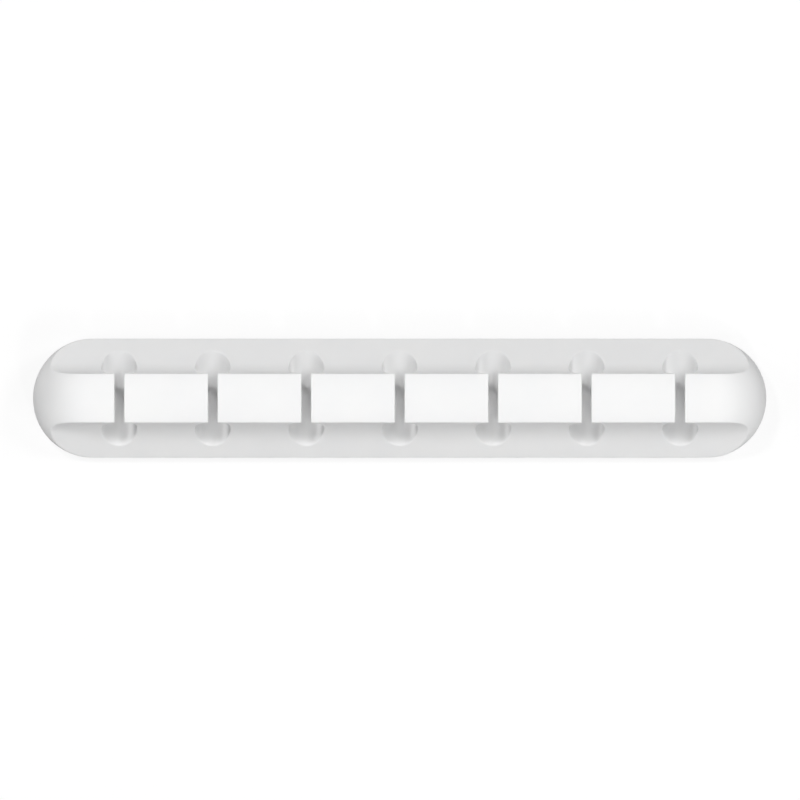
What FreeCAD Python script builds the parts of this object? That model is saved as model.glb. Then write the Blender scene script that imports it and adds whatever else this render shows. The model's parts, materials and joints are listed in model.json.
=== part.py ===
import FreeCAD, Part
import math
import os

import Sketcher
from FreeCAD import Vector

# Desk cable holder: one silicone moulding with rounded ends and a crowned top.
# A scoop runs along each long side, and a row of keyhole slots crosses the ridge between them.
# The holder lies along X, the cables cross it along Y, and the underside is at Z = 0.

# Driving dimensions in millimetres. Each is set once here, and the features read it from the sheet.
SIZES = {
    # Row of slots: how many, from one to the next, and from the last one to the rounded tip
    "slot_count": 7,
    "slot_pitch": 17.08,
    "end_reach": 15.76,
    # Across the foot, and from the underside to the crest
    "holder_width": 21.7,
    "holder_height": 12.0,
    # Flat land left along the crest, between the two sides of the crown
    "crest_land": 1.7,
    # Ridge left between the scoops, and how far below the crest its upright walls reach
    "ridge_width": 9.04,
    "scoop_wall": 1.2,
    "scoop_radius": 6.5,
    # Upright rim of the foot, below a scoop
    "foot_rim": 1.8,
    # Keyhole: the round bore for the cable, the lips above it and the slit between them
    "cable_bore": 6.4,
    "lip_thickness": 1.65,
    "slit_width": 1.74,
    # Small roundings of the moulding: on its outer edges, and round the underside
    "edge_rounding": 0.25,
    "base_rounding": 0.25,
}

# How far the sketch of a cut stands clear of the material that it cuts
OVERSHOOT = 2.0
# Two places closer than this are the same when a face or an edge is looked up
NEAR = 1e-4

# Places that more than one feature needs, worked out from the sheet
HALF_WIDTH = "sizes.holder_width / 2"
HALF_RIDGE = "sizes.ridge_width / 2"
HALF_SLIT = "sizes.slit_width / 2"
BORE_RADIUS = "sizes.cable_bore / 2"
BORE_HEIGHT = "sizes.holder_height - sizes.lip_thickness - sizes.cable_bore / 2"
ROW_LENGTH = "(sizes.slot_count - 1) * sizes.slot_pitch"
BETWEEN_ENDS = f"{ROW_LENGTH} + 2 * sizes.end_reach - sizes.holder_width"
SCOOP_START = "sizes.holder_height - sizes.scoop_wall"
CUT_TOP = f"sizes.holder_height + {OVERSHOOT}"
CUT_SIDE = f"{HALF_WIDTH} + {OVERSHOOT}"
CROWN_RADIUS = "min((sizes.holder_width - sizes.crest_land) / 2; sizes.holder_height - sizes.foot_rim)"

# In a constraint, these are the points of a line or an arc, and a sketch's own X axis
START, END, CENTRE = 1, 2, 3
X_AXIS = -1

doc = FreeCAD.newDocument("desk_cable_holder")


# Spreadsheet

def make_sheet():
    sheet = doc.addObject("Spreadsheet::Sheet", "sizes")
    for row, (alias, value) in enumerate(SIZES.items(), start=1):
        sheet.set(f"A{row}", alias)
        sheet.set(f"B{row}", str(value))
        sheet.setAlias(f"B{row}", alias)
    doc.recompute()


def size_of(expression):
    """The present value of an expression over the sheet."""
    return float(doc.sizes.evalExpression(expression))


# Sketch helpers

def origin_feature(body, role):
    return next(item for item in body.Origin.OriginFeatures if item.Role == role)


def add_sketch(body, name, plane):
    sketch = body.newObject("Sketcher::SketchObject", name)
    sketch.AttachmentSupport = [(origin_feature(body, plane), "")]
    sketch.MapMode = "FlatFace"
    return sketch


def add_line(sketch, start, end):
    return sketch.addGeometry(Part.LineSegment(Vector(*start), Vector(*end)))


def add_arc(sketch, centre, radius, start_angle, end_angle):
    circle = Part.Circle(Vector(*centre), Vector(0, 0, 1), radius)
    return sketch.addGeometry(Part.ArcOfCircle(circle, start_angle, end_angle))


def join(sketch, kind, *where):
    sketch.addConstraint(Sketcher.Constraint(kind, *where))


def set_size(sketch, name, kind, where, expression):
    """Add a named dimension to a sketch and tie it to the sheet."""
    number = sketch.addConstraint(Sketcher.Constraint(kind, *where, size_of(expression)))
    sketch.renameConstraint(number, name)
    sketch.setExpression(f"Constraints.{name}", expression)


# Outline of the foot: two straight sides and two half-round ends

def draw_outline(body):
    sketch = add_sketch(body, "outline", "XY_Plane")
    radius = size_of(HALF_WIDTH)
    reach = size_of(BETWEEN_ENDS) / 2
    front = add_line(sketch, (-reach, -radius), (reach, -radius))
    right = add_arc(sketch, (reach, 0), radius, -math.pi / 2, math.pi / 2)
    back = add_line(sketch, (reach, radius), (-reach, radius))
    left = add_arc(sketch, (-reach, 0), radius, math.pi / 2, 3 * math.pi / 2)
    join(sketch, "Tangent", front, END, right, START)
    join(sketch, "Tangent", right, END, back, START)
    join(sketch, "Tangent", back, END, left, START)
    join(sketch, "Tangent", left, END, front, START)
    join(sketch, "Equal", left, right)
    join(sketch, "Symmetric", left, CENTRE, right, CENTRE, X_AXIS, START)
    join(sketch, "Horizontal", left, CENTRE, right, CENTRE)
    set_size(sketch, "end_radius", "Radius", (right,), HALF_WIDTH)
    set_size(sketch, "between_ends", "DistanceX", (left, CENTRE, right, CENTRE), BETWEEN_ENDS)
    return sketch


# Scoop: an upright wall at the ridge, a hollow curve and a straight slope down to the foot

def tangent_point(centre, radius, point):
    """Where a line from the point touches the circle, on the side that faces the ridge."""
    across = point[0] - centre[0]
    up = point[1] - centre[1]
    turn = math.atan2(up, across) - math.acos(radius / math.hypot(across, up))
    return centre[0] + radius * math.cos(turn), centre[1] + radius * math.sin(turn)


def draw_scoop(body):
    sketch = add_sketch(body, "scoop_profile", "YZ_Plane")
    ridge = size_of(HALF_RIDGE)
    side = size_of(HALF_WIDTH)
    rim = size_of("sizes.foot_rim")
    top = size_of(CUT_TOP)
    clear = size_of(CUT_SIDE)
    radius = size_of("sizes.scoop_radius")
    centre = (ridge + radius, size_of(SCOOP_START))
    touch = tangent_point(centre, radius, (side, rim))
    touch_angle = 2 * math.pi + math.atan2(touch[1] - centre[1], touch[0] - centre[0])

    wall = add_line(sketch, (ridge, top), (ridge, centre[1]))
    curve = add_arc(sketch, centre, radius, math.pi, touch_angle)
    slope = add_line(sketch, touch, (side, rim))
    ledge = add_line(sketch, (side, rim), (clear, rim))
    outside = add_line(sketch, (clear, rim), (clear, top))
    lid = add_line(sketch, (clear, top), (ridge, top))
    join(sketch, "Tangent", wall, END, curve, START)
    join(sketch, "Tangent", curve, END, slope, START)
    join(sketch, "Coincident", slope, END, ledge, START)
    join(sketch, "Coincident", ledge, END, outside, START)
    join(sketch, "Coincident", outside, END, lid, START)
    join(sketch, "Coincident", lid, END, wall, START)
    join(sketch, "Vertical", wall)
    join(sketch, "Horizontal", ledge)
    join(sketch, "Vertical", outside)
    join(sketch, "Horizontal", lid)
    set_size(sketch, "half_ridge", "DistanceX", (X_AXIS, START, wall, START), HALF_RIDGE)
    set_size(sketch, "wall_foot", "DistanceY", (X_AXIS, START, wall, END), SCOOP_START)
    set_size(sketch, "curve_radius", "Radius", (curve,), "sizes.scoop_radius")
    set_size(sketch, "half_width", "DistanceX", (X_AXIS, START, slope, END), HALF_WIDTH)
    set_size(sketch, "rim_height", "DistanceY", (X_AXIS, START, slope, END), "sizes.foot_rim")
    set_size(sketch, "clear_side", "DistanceX", (X_AXIS, START, outside, START), CUT_SIDE)
    set_size(sketch, "clear_top", "DistanceY", (X_AXIS, START, lid, END), CUT_TOP)
    return sketch


# Keyhole: the cable's bore and the slit that opens it to the top, drawn for the first slot

def draw_keyhole(body):
    sketch = add_sketch(body, "keyhole_profile", "XZ_Plane")
    radius = size_of(BORE_RADIUS)
    half_slit = size_of(HALF_SLIT)
    middle = -size_of(ROW_LENGTH) / 2
    height = size_of(BORE_HEIGHT)
    top = size_of(CUT_TOP)
    mouth_angle = math.asin(half_slit / radius)
    mouth = height + radius * math.cos(mouth_angle)

    left = add_line(sketch, (middle - half_slit, top), (middle - half_slit, mouth))
    bore = add_arc(
        sketch, (middle, height), radius, math.pi / 2 + mouth_angle, 5 * math.pi / 2 - mouth_angle
    )
    right = add_line(sketch, (middle + half_slit, mouth), (middle + half_slit, top))
    lid = add_line(sketch, (middle + half_slit, top), (middle - half_slit, top))
    join(sketch, "Coincident", left, END, bore, START)
    join(sketch, "Coincident", bore, END, right, START)
    join(sketch, "Coincident", right, END, lid, START)
    join(sketch, "Coincident", lid, END, left, START)
    join(sketch, "Vertical", left)
    join(sketch, "Vertical", right)
    join(sketch, "Horizontal", lid)
    set_size(sketch, "bore_radius", "Radius", (bore,), BORE_RADIUS)
    set_size(sketch, "bore_height", "DistanceY", (X_AXIS, START, bore, CENTRE), BORE_HEIGHT)
    set_size(sketch, "first_slot", "DistanceX", (bore, CENTRE, X_AXIS, START), f"{ROW_LENGTH} / 2")
    set_size(sketch, "slit_width", "DistanceX", (left, END, right, START), "sizes.slit_width")
    set_size(sketch, "half_slit", "DistanceX", (left, END, bore, CENTRE), HALF_SLIT)
    set_size(sketch, "clear_top", "DistanceY", (X_AXIS, START, lid, START), CUT_TOP)
    return sketch


# Features

def cut_through(body, name, profile):
    """A pocket through everything on both sides of the profile's plane."""
    before = body.Shape.Volume
    pocket = body.newObject("PartDesign::Pocket", name)
    pocket.Profile = profile
    pocket.Type = "ThroughAll"
    pocket.SideType = "Symmetric"
    doc.recompute()
    if pocket.Shape.Volume > before - NEAR:
        raise RuntimeError(f"{name} cuts nothing")
    return pocket


def round_off(body, name, base, picked, radius):
    fillet = body.newObject("PartDesign::Fillet", name)
    fillet.Base = (base, picked)
    fillet.setExpression("Radius", radius)
    doc.recompute()
    return fillet


def level_face(shape, height):
    """The name of the level face at a height."""
    for number, face in enumerate(shape.Faces, start=1):
        box = face.BoundBox
        if abs(box.ZMin - height) < NEAR and abs(box.ZMax - height) < NEAR:
            return f"Face{number}"
    raise RuntimeError(f"no level face at height {height}")


def outer_edges(shape, blank):
    """The edges that the scoops leave on the blank's skin, and the corners where a slit meets a scoop."""
    skin = blank.Shells[0]
    seams = Part.Compound(blank.Edges)
    half_ridge = size_of(HALF_RIDGE)
    half_slit = size_of(HALF_SLIT)
    pitch = size_of("sizes.slot_pitch")
    first = -size_of(ROW_LENGTH) / 2
    middles = [first + number * pitch for number in range(int(size_of("sizes.slot_count")))]
    picked = []
    for number, edge in enumerate(shape.Edges, start=1):
        middle = edge.valueAt((edge.FirstParameter + edge.LastParameter) / 2)
        spot = Part.Vertex(middle)
        on_skin = spot.distToShape(skin)[0] < NEAR < spot.distToShape(seams)[0]
        beside_slot = any(abs(abs(middle.x - slot) - half_slit) < NEAR for slot in middles)
        at_slit = beside_slot and edge.BoundBox.XLength < NEAR
        if abs(middle.y) > half_ridge - NEAR and (on_skin or at_slit):
            picked.append(f"Edge{number}")
    return picked


# The moulding: a crowned blank, the scoops cut from its sides, then the row of keyholes

def make_blank(body):
    pad = body.newObject("PartDesign::Pad", "foot")
    pad.Profile = draw_outline(body)
    pad.setExpression("Length", "sizes.holder_height")
    doc.recompute()
    crest = level_face(pad.Shape, size_of("sizes.holder_height"))
    crown = round_off(body, "crown", pad, [crest], CROWN_RADIUS)
    underside = level_face(crown.Shape, 0)
    return round_off(body, "base_edge", crown, [underside], "sizes.base_rounding")


def cut_scoops(body):
    scoop = cut_through(body, "scoop", draw_scoop(body))
    pair = body.newObject("PartDesign::Mirrored", "scoop_pair")
    pair.Originals = [scoop]
    pair.MirrorPlane = (origin_feature(body, "XZ_Plane"), [""])
    body.Tip = pair
    doc.recompute()


def cut_keyholes(body):
    keyhole = cut_through(body, "keyhole", draw_keyhole(body))
    row = body.newObject("PartDesign::LinearPattern", "keyhole_row")
    row.Originals = [keyhole]
    row.Direction = (origin_feature(body, "X_Axis"), [""])
    row.Mode = "Spacing"
    row.setExpression("Offset", "sizes.slot_pitch")
    row.setExpression("Occurrences", "sizes.slot_count")
    body.Tip = row
    doc.recompute()
    return row


def make_holder():
    body = doc.addObject("PartDesign::Body", "cable_holder")
    body.Label = "cable_holder"
    blank = make_blank(body)
    cut_scoops(body)
    row = cut_keyholes(body)
    edges = outer_edges(row.Shape, blank.Shape)
    round_off(body, "outer_edge", row, edges, "sizes.edge_rounding")
    return body


def check(body):
    for item in doc.Objects:
        if {"Invalid", "Error"} & set(item.State):
            raise RuntimeError(f"{item.Label} failed: {item.State}")
    if body.Shape.isNull() or not body.Shape.isValid() or len(body.Shape.Solids) != 1:
        raise RuntimeError(f"{body.Label} isn't one valid solid")


make_sheet()
holder = make_holder()
check(holder)
os.makedirs("parts", exist_ok=True)
holder.Shape.exportStep(os.path.join("parts", f"{holder.Label}.step"))
print(f"{holder.Label}: one solid of {holder.Shape.Volume / 1000:.2f} ml")
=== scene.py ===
import json
import math

import bmesh
import bpy
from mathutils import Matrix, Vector


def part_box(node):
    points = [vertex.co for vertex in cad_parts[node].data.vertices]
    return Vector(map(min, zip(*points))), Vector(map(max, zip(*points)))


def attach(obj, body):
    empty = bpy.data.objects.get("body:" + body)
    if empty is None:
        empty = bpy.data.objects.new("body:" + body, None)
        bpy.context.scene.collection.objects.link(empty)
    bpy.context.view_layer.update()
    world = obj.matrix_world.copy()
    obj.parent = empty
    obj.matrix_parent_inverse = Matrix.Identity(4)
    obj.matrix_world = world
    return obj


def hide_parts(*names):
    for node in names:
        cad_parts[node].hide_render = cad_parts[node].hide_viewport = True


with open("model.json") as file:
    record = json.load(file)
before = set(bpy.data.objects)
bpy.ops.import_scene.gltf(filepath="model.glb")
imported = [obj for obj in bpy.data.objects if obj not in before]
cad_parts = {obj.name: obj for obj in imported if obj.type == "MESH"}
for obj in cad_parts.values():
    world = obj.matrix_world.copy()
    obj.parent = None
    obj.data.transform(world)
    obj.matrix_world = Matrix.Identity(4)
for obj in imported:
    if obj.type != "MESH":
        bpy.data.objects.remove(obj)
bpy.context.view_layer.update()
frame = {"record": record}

MM = 0.001

# The holder's size and its bores come from the frame
HOLDER_LOW, HOLDER_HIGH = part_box("cable_holder")
LENGTH = HOLDER_HIGH[0] - HOLDER_LOW[0]
WIDTH = HOLDER_HIGH[1] - HOLDER_LOW[1]
HEIGHT = HOLDER_HIGH[2] - HOLDER_LOW[2]
BORES = [mount for mount in frame["record"]["mounts"] if mount["kind"] == "bore"]
BORE_RADIUS = BORES[0]["dims"]["r_mm"] * MM
FIRST_BORE = BORES[0]["pos_m"]
SLOT_COUNT = len(BORES)
SLOT_PITCH = BORES[1]["pos_m"][0] - FIRST_BORE[0]

# The rest of the moulding's section, as in the part's source
CREST_LAND = 1.7 * MM
RIDGE_WIDTH = 9.04 * MM
SCOOP_WALL = 1.2 * MM
SCOOP_RADIUS = 6.5 * MM
FOOT_RIM = 1.8 * MM
SLIT_WIDTH = 1.74 * MM
EDGE_ROUNDING = 0.25 * MM
CROWN_RADIUS = (WIDTH - CREST_LAND) / 2
END_CENTRE = (LENGTH - WIDTH) / 2

# How fine the moulding is modelled
OUTLINE_STEPS = 192
CROWN_STEPS = 48
ROUNDING_STEPS = 4
SCOOP_STEPS = 24
BORE_STEPS = 96
ROUND_PROFILE = 0.5
SKIN_VOXEL = 0.12 * MM
SKIN_SMOOTHING = 8
SKIN_SMOOTHING_FACTOR = 0.5
SKIN_SHARE_KEPT = 0.12

# Points closer than this are one point, and a cut through a mesh is surer than that
TOUCHING = 1e-6
CUT_TOLERANCE = TOUCHING / 10

# How far the scoops' cutter passes the foot's side
CLEARANCE = 2 * MM

# A slit's corners are rounded from this share of a bore's radius above its axis, so from inside the bore
CORNER_START = 0.8

# A face whose normal rises at least this much faces up
FACING_UP = 0.5

# Matt white silicone. Its two whites, its roughness and its skin change over patches of these sizes.
SILICONE_IOR = 1.41
SILICONE_SPECULAR = 0.2
SILICONE_GLOW = 0.1
GLOW_DEPTH = 0.6 * MM
GLOW_COLOUR = (1.0, 0.95, 0.9)
COOL_WHITE = (0.835, 0.837, 0.84)
WARM_WHITE = (0.86, 0.86, 0.858)
WHITE_PATCH = 9 * MM
ROUGHNESS_RANGE = (0.6, 0.7)
ROUGHNESS_PATCH = 2.2 * MM
SWELL_PATCH = 3.5 * MM
SWELL_STRENGTH = 0.4
SWELL_HEIGHT = 0.02 * MM
GRAIN_PATCH = 0.16 * MM
GRAIN_STRENGTH = 0.5
GRAIN_HEIGHT = 0.014 * MM
NOISE_MIDDLE = (0.25, 0.75)

# The photograph looks straight down. Its frame is this wide, and its middle lies a little off the holder's.
FRAME_WIDTH = 146.2 * MM
FRAME_CENTRE = (0.06 * MM, -0.34 * MM)
CAMERA_HEIGHT = 0.4

# The floor: what it throws back onto the holder, its own white, and how much of the shadow it shows
FLOOR_SIZE = 4
FLOOR_BOUNCE = (0.08, 0.08, 0.08)
FLOOR_WHITE = (0.95, 0.95, 0.95)
FLOOR_SHADOW = 0.18

# The studio: each lamp's azimuth from +X and elevation, how wide it looks from the holder, all in degrees,
# and its light on a surface that faces it. With the fill they light a surface that faces up at 1.13 of the
# plain level, at which a colour renders as it is written.
LAMP_DISTANCE = 0.7
WORLD_FILL = 0.02
WHITE = 1
LAMPS = {
    "key_back_left": (132, 58, 8, 0.88),
    "key_front_right": (293, 42, 8, 0.70),
    "box_right": (22, 41, 26, 1.43),
    "box_left": (158, 37, 20, 0.69),
    "box_front_left": (204, 37, 22, 0.71),
    "box_front_right": (315, 36, 20, 0.61),
    "strip_back": (90, 8, 20, 0.53),
    "strip_front": (270, 8, 20, 0.36),
}


def make_active(piece):
    for other in bpy.context.selected_objects:
        other.select_set(False)
    bpy.context.view_layer.objects.active = piece
    piece.select_set(True)


def edit(piece):
    make_active(piece)
    bpy.ops.object.mode_set(mode="EDIT")
    bpy.ops.mesh.select_mode(type="VERT")


def leave_edit():
    bpy.ops.object.mode_set(mode="OBJECT")


def select(piece, kind, wanted):
    """In edit mode, select the vertices, edges or faces that the test wants, and nothing else."""
    bpy.ops.mesh.select_mode(type=kind)
    bpy.ops.mesh.select_all(action="DESELECT")
    mesh = bmesh.from_edit_mesh(piece.data)
    items = {"VERT": mesh.verts, "EDGE": mesh.edges, "FACE": mesh.faces}[kind]
    for item in items:
        if wanted(item):
            item.select_set(True)
    mesh.select_flush_mode()
    bmesh.update_edit_mesh(piece.data)


def apply_modifier(piece, kind, **values):
    make_active(piece)
    modifier = piece.modifiers.new(kind.lower(), kind)
    for name, value in values.items():
        setattr(modifier, name, value)
    bpy.ops.object.modifier_apply(modifier=modifier.name)


def settle(piece):
    """Put the piece's place and turn into its mesh, so that its object sits at the origin."""
    make_active(piece)
    bpy.ops.object.transform_apply(location=True, rotation=True, scale=True)


def at_height(height):
    """A test for edges that lie level at this height."""
    return lambda edge: all(abs(vertex.co.z - height) < TOUCHING for vertex in edge.verts)


def start_outline(point):
    """A new cutter, in edit mode, that is only this point: its outline is drawn on from here."""
    bpy.ops.mesh.primitive_plane_add(size=MM, location=(0, 0, 0))
    cutter = bpy.context.active_object
    edit(cutter)
    bpy.ops.mesh.select_all(action="SELECT")
    bpy.ops.mesh.merge(type="CENTER")
    bpy.ops.transform.translate(value=point)
    return cutter


def draw_on(step):
    bpy.ops.mesh.extrude_vertices_move(TRANSFORM_OT_translate={"value": step})


def fill_outline(step):
    """Close the outline with a face, extrude that by this step, and leave edit mode."""
    bpy.ops.mesh.select_all(action="SELECT")
    bpy.ops.mesh.edge_face_add()
    bpy.ops.mesh.extrude_region_move(TRANSFORM_OT_translate={"value": step})
    bpy.ops.mesh.select_all(action="SELECT")
    bpy.ops.mesh.normals_make_consistent(inside=False)
    leave_edit()


def repeat_for_each_slot(cutter):
    apply_modifier(
        cutter, "ARRAY", count=SLOT_COUNT, use_relative_offset=False, use_constant_offset=True,
        constant_offset_displace=(SLOT_PITCH, 0, 0),
    )


def model_blank():
    """The moulding before its scoops and slots: a foot with round ends under a crowned, domed top."""
    bpy.ops.mesh.primitive_cylinder_add(
        vertices=OUTLINE_STEPS, radius=WIDTH / 2, depth=HEIGHT, location=(END_CENTRE, 0, HEIGHT / 2)
    )
    blank = bpy.context.active_object
    settle(blank)
    edit(blank)
    select(blank, "EDGE", at_height(HEIGHT))
    bpy.ops.mesh.bevel(
        offset=CROWN_RADIUS, segments=CROWN_STEPS, profile=ROUND_PROFILE, affect="EDGES"
    )
    select(blank, "EDGE", at_height(0))
    bpy.ops.mesh.bevel(
        offset=EDGE_ROUNDING, segments=ROUNDING_STEPS, profile=ROUND_PROFILE, affect="EDGES"
    )
    bpy.ops.mesh.select_all(action="SELECT")
    bpy.ops.mesh.bisect(
        plane_co=(END_CENTRE, 0, 0), plane_no=(1, 0, 0), clear_inner=True, threshold=CUT_TOLERANCE
    )
    bpy.ops.mesh.select_all(action="SELECT")
    bpy.ops.mesh.remove_doubles(threshold=TOUCHING)
    select(blank, "EDGE", lambda edge: edge.is_boundary)
    bpy.ops.mesh.extrude_edges_move(TRANSFORM_OT_translate={"value": (-END_CENTRE, 0, 0)})
    leave_edit()
    apply_modifier(blank, "MIRROR", use_axis=(True, False, False), merge_threshold=TOUCHING)
    return blank


def model_scoop_cutter():
    """What the scoops take away: down the ridge's wall, round the hollow and out over the foot."""
    arc_centre = Vector((-LENGTH, RIDGE_WIDTH / 2 + SCOOP_RADIUS, HEIGHT - SCOOP_WALL))
    foot_point = Vector((-LENGTH, WIDTH / 2, FOOT_RIM))
    to_foot = foot_point - arc_centre
    foot_angle = math.atan2(to_foot.z, to_foot.y) % math.tau
    arc_end = foot_angle - math.acos(SCOOP_RADIUS / to_foot.length)
    outward = Vector((0, -math.sin(arc_end), math.cos(arc_end)))

    cutter = start_outline(arc_centre - Vector((0, SCOOP_RADIUS, 0)))
    bpy.ops.mesh.spin(
        steps=SCOOP_STEPS, angle=math.pi - arc_end, center=arc_centre, axis=(1, 0, 0)
    )
    draw_on(outward * SCOOP_RADIUS * 2)
    draw_on((0, CLEARANCE, 0))
    draw_on((0, 0, HEIGHT * 2))
    reach = max(vertex.co.y for vertex in bmesh.from_edit_mesh(cutter.data).verts)
    draw_on((0, RIDGE_WIDTH / 2 - reach, 0))
    fill_outline((LENGTH * 2, 0, 0))
    apply_modifier(cutter, "MIRROR", use_axis=(False, True, False), use_mirror_merge=False)
    return cutter


def model_keyhole_cutter():
    """What the slots take away: a round bore right across, and the slit above it, once for each slot."""
    bpy.ops.mesh.primitive_cylinder_add(
        vertices=BORE_STEPS, radius=BORE_RADIUS, depth=WIDTH * 2, location=FIRST_BORE,
        rotation=(math.pi / 2, 0, 0),
    )
    cutter = bpy.context.active_object
    settle(cutter)
    edit(cutter)
    middle = FIRST_BORE[0]
    for side in (-1, 1):
        slit_wall = (middle + side * SLIT_WIDTH / 2, 0, 0)
        bpy.ops.mesh.select_all(action="SELECT")
        bpy.ops.mesh.bisect(plane_co=slit_wall, plane_no=(1, 0, 0), threshold=CUT_TOLERANCE)

    def under_the_slit(face):
        beside = abs(face.calc_center_median().x - middle)
        return face.normal.z > FACING_UP and beside < SLIT_WIDTH / 2

    select(cutter, "FACE", under_the_slit)
    bpy.ops.mesh.extrude_region_move(TRANSFORM_OT_translate={"value": (0, 0, HEIGHT)})
    leave_edit()
    repeat_for_each_slot(cutter)
    return cutter


def model_corner_cutter():
    """What rounds the four corners of each slit, where its walls meet the ridge's, seen from above."""
    start_height = FIRST_BORE[2] + BORE_RADIUS * CORNER_START
    corner = Vector((SLIT_WIDTH / 2, RIDGE_WIDTH / 2, start_height))
    arc_centre = corner + Vector((EDGE_ROUNDING, -EDGE_ROUNDING, 0))
    cutter = start_outline(corner - Vector((0, EDGE_ROUNDING, 0)))
    bpy.ops.mesh.spin(
        steps=ROUNDING_STEPS, angle=math.pi / 2, center=arc_centre, axis=(0, 0, -1)
    )
    draw_on((0, EDGE_ROUNDING, 0))
    draw_on((-2 * EDGE_ROUNDING, 0, 0))
    draw_on((0, -2 * EDGE_ROUNDING, 0))
    fill_outline((0, 0, HEIGHT))
    apply_modifier(cutter, "MIRROR", use_axis=(True, True, False), use_mirror_merge=False)
    cutter.location.x = FIRST_BORE[0]
    settle(cutter)
    repeat_for_each_slot(cutter)
    return cutter


def cut(piece, cutter):
    apply_modifier(piece, "BOOLEAN", operation="DIFFERENCE", solver="EXACT", object=cutter)
    bpy.data.objects.remove(cutter)


def model_holder():
    """The whole moulding, with the soft edges that silicone keeps from its mould."""
    holder = model_blank()
    holder.name = "holder_moulding"
    cut(holder, model_scoop_cutter())
    cut(holder, model_keyhole_cutter())
    cut(holder, model_corner_cutter())
    apply_modifier(holder, "REMESH", mode="VOXEL", voxel_size=SKIN_VOXEL, adaptivity=0)
    apply_modifier(holder, "SMOOTH", factor=SKIN_SMOOTHING_FACTOR, iterations=SKIN_SMOOTHING)
    apply_modifier(holder, "DECIMATE", decimate_type="COLLAPSE", ratio=SKIN_SHARE_KEPT)
    make_active(holder)
    bpy.ops.object.shade_smooth()
    return holder


def silicone_material():
    """Matt white silicone: light sinks in a little, and the mould has left a very fine grain on the skin."""
    material = bpy.data.materials.new("white_silicone")
    material.use_nodes = True
    nodes = material.node_tree.nodes
    links = material.node_tree.links
    shader = nodes["Principled BSDF"]
    shader.inputs["IOR"].default_value = SILICONE_IOR
    shader.inputs["Specular IOR Level"].default_value = SILICONE_SPECULAR
    shader.inputs["Subsurface Weight"].default_value = SILICONE_GLOW
    shader.inputs["Subsurface Radius"].default_value = GLOW_COLOUR
    shader.inputs["Subsurface Scale"].default_value = GLOW_DEPTH
    place = nodes.new("ShaderNodeTexCoord").outputs["Object"]

    def noise(size, detail):
        """Cloudy noise whose patches are about this size"""
        texture = nodes.new("ShaderNodeTexNoise")
        texture.inputs["Scale"].default_value = 1 / size
        texture.inputs["Detail"].default_value = detail
        links.new(place, texture.inputs["Vector"])
        return texture.outputs["Fac"]

    def between(factor, low, high):
        """The noise's middle half, stretched between two values"""
        ramp = nodes.new("ShaderNodeMapRange")
        ramp.inputs["From Min"].default_value = NOISE_MIDDLE[0]
        ramp.inputs["From Max"].default_value = NOISE_MIDDLE[1]
        ramp.inputs["To Min"].default_value = low
        ramp.inputs["To Max"].default_value = high
        links.new(factor, ramp.inputs["Value"])
        return ramp.outputs["Result"]

    def bump(size, strength, height):
        """Bumps about this wide and, at full strength, this high"""
        bumps = nodes.new("ShaderNodeBump")
        bumps.inputs["Strength"].default_value = strength
        bumps.inputs["Distance"].default_value = height
        links.new(noise(size, detail=2), bumps.inputs["Height"])
        return bumps

    tint = nodes.new("ShaderNodeMix")
    tint.data_type = "RGBA"
    tint.inputs["A"].default_value = (*COOL_WHITE, 1)
    tint.inputs["B"].default_value = (*WARM_WHITE, 1)
    links.new(between(noise(WHITE_PATCH, detail=3), 0, 1), tint.inputs["Factor"])
    links.new(tint.outputs["Result"], shader.inputs["Base Color"])
    roughness = between(noise(ROUGHNESS_PATCH, detail=4), *ROUGHNESS_RANGE)
    links.new(roughness, shader.inputs["Roughness"])

    swell = bump(SWELL_PATCH, SWELL_STRENGTH, SWELL_HEIGHT)
    grain = bump(GRAIN_PATCH, GRAIN_STRENGTH, GRAIN_HEIGHT)
    links.new(swell.outputs["Normal"], grain.inputs["Normal"])
    links.new(grain.outputs["Normal"], shader.inputs["Normal"])
    return material


def seen_directly(tree):
    """1 where the camera, a reflection or a look through glass meets it, and 0 for its diffuse light."""
    path = tree.nodes.new("ShaderNodeLightPath")
    seen = path.outputs["Is Camera Ray"]
    for ray in ("Is Glossy Ray", "Is Transmission Ray"):
        either = tree.nodes.new("ShaderNodeMath")
        either.operation = "MAXIMUM"
        tree.links.new(seen, either.inputs[0])
        tree.links.new(path.outputs[ray], either.inputs[1])
        seen = either.outputs["Value"]
    return seen


def floor_material():
    """Seen as a white sweep that keeps part of the shadow, while it throws back only some of the light."""
    material = bpy.data.materials.new("floor_white")
    material.use_nodes = True
    tree = material.node_tree
    tree.nodes.clear()
    output = tree.nodes.new("ShaderNodeOutputMaterial")
    bounce = tree.nodes.new("ShaderNodeBsdfDiffuse")
    bounce.inputs["Color"].default_value = (*FLOOR_BOUNCE, 1)
    lit_white = tree.nodes.new("ShaderNodeBsdfDiffuse")
    lit_white.inputs["Color"].default_value = (*FLOOR_WHITE, 1)
    plain_white = tree.nodes.new("ShaderNodeEmission")
    plain_white.inputs["Strength"].default_value = WHITE
    white = tree.nodes.new("ShaderNodeMixShader")
    white.inputs["Fac"].default_value = FLOOR_SHADOW
    tree.links.new(plain_white.outputs["Emission"], white.inputs[1])
    tree.links.new(lit_white.outputs["BSDF"], white.inputs[2])
    floor = tree.nodes.new("ShaderNodeMixShader")
    tree.links.new(seen_directly(tree), floor.inputs["Fac"])
    tree.links.new(bounce.outputs["BSDF"], floor.inputs[1])
    tree.links.new(white.outputs["Shader"], floor.inputs[2])
    tree.links.new(floor.outputs["Shader"], output.inputs["Surface"])
    return material


def add_floor():
    bpy.ops.mesh.primitive_plane_add(size=FLOOR_SIZE)
    floor = bpy.context.active_object
    floor.name = "floor"
    floor.data.materials.append(floor_material())


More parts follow.
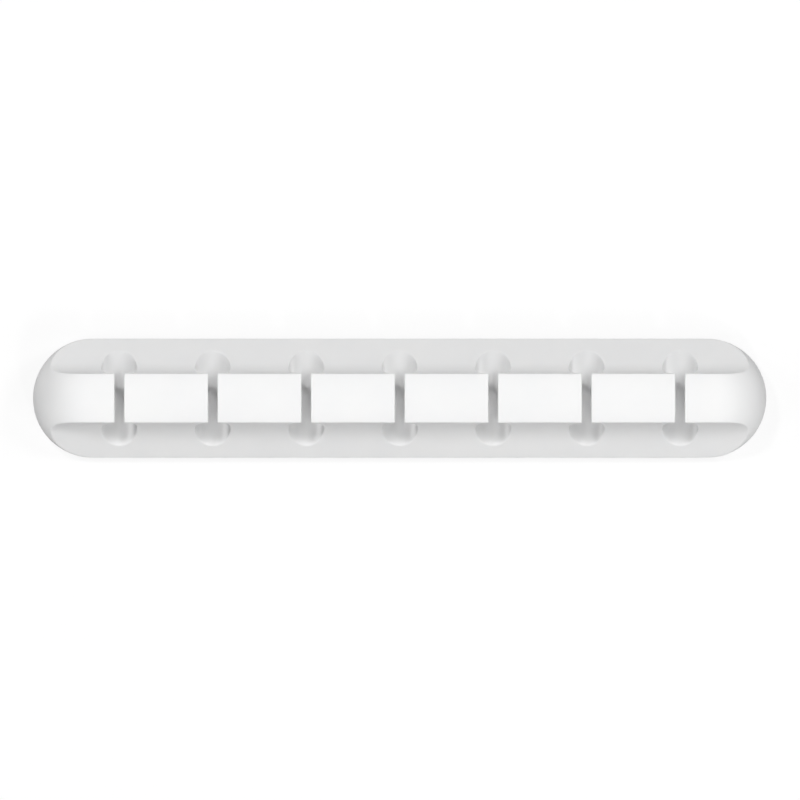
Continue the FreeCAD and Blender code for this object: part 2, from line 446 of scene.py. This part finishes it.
def add_camera():
    data = bpy.data.cameras.new("camera")
    data.type = "ORTHO"
    data.ortho_scale = FRAME_WIDTH
    camera = bpy.data.objects.new("camera", data)
    camera.location = (*FRAME_CENTRE, CAMERA_HEIGHT)
    bpy.context.collection.objects.link(camera)
    bpy.context.scene.camera = camera


def add_lamp(name, azimuth, elevation, spread, light):
    """A round soft light that faces the holder, this many degrees across and this bright where it falls."""
    turn = math.radians(azimuth)
    rise = math.radians(elevation)
    outward = Vector((math.cos(rise) * math.cos(turn), math.cos(rise) * math.sin(turn), math.sin(rise)))
    data = bpy.data.lights.new(name, "AREA")
    data.shape = "DISK"
    data.size = 2 * LAMP_DISTANCE * math.tan(math.radians(spread / 2))
    data.energy = light * math.pi * LAMP_DISTANCE ** 2
    lamp = bpy.data.objects.new(name, data)
    lamp.location = outward * LAMP_DISTANCE
    lamp.rotation_euler = (-outward).to_track_quat("-Z", "Y").to_euler()
    bpy.context.collection.objects.link(lamp)


def add_world():
    """A white room to look at, whose own light is only a weak fill."""
    world = bpy.data.worlds.new("studio")
    world.use_nodes = True
    tree = world.node_tree
    tree.nodes.clear()
    output = tree.nodes.new("ShaderNodeOutputWorld")
    fill = tree.nodes.new("ShaderNodeBackground")
    fill.inputs["Strength"].default_value = WORLD_FILL
    white = tree.nodes.new("ShaderNodeBackground")
    white.inputs["Strength"].default_value = WHITE
    for background in (fill, white):
        background.inputs["Color"].default_value = (1, 1, 1, 1)
    room = tree.nodes.new("ShaderNodeMixShader")
    tree.links.new(seen_directly(tree), room.inputs["Fac"])
    tree.links.new(fill.outputs["Background"], room.inputs[1])
    tree.links.new(white.outputs["Background"], room.inputs[2])
    tree.links.new(room.outputs["Shader"], output.inputs["Surface"])
    bpy.context.scene.world = world


bpy.context.scene.view_settings.view_transform = "Standard"
add_camera()
add_floor()
add_world()
for lamp_name, (azimuth, elevation, spread, light) in LAMPS.items():
    add_lamp(lamp_name, azimuth, elevation, spread, light)

moulding = model_holder()
moulding.data.materials.append(silicone_material())
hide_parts("cable_holder")
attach(moulding, "root")
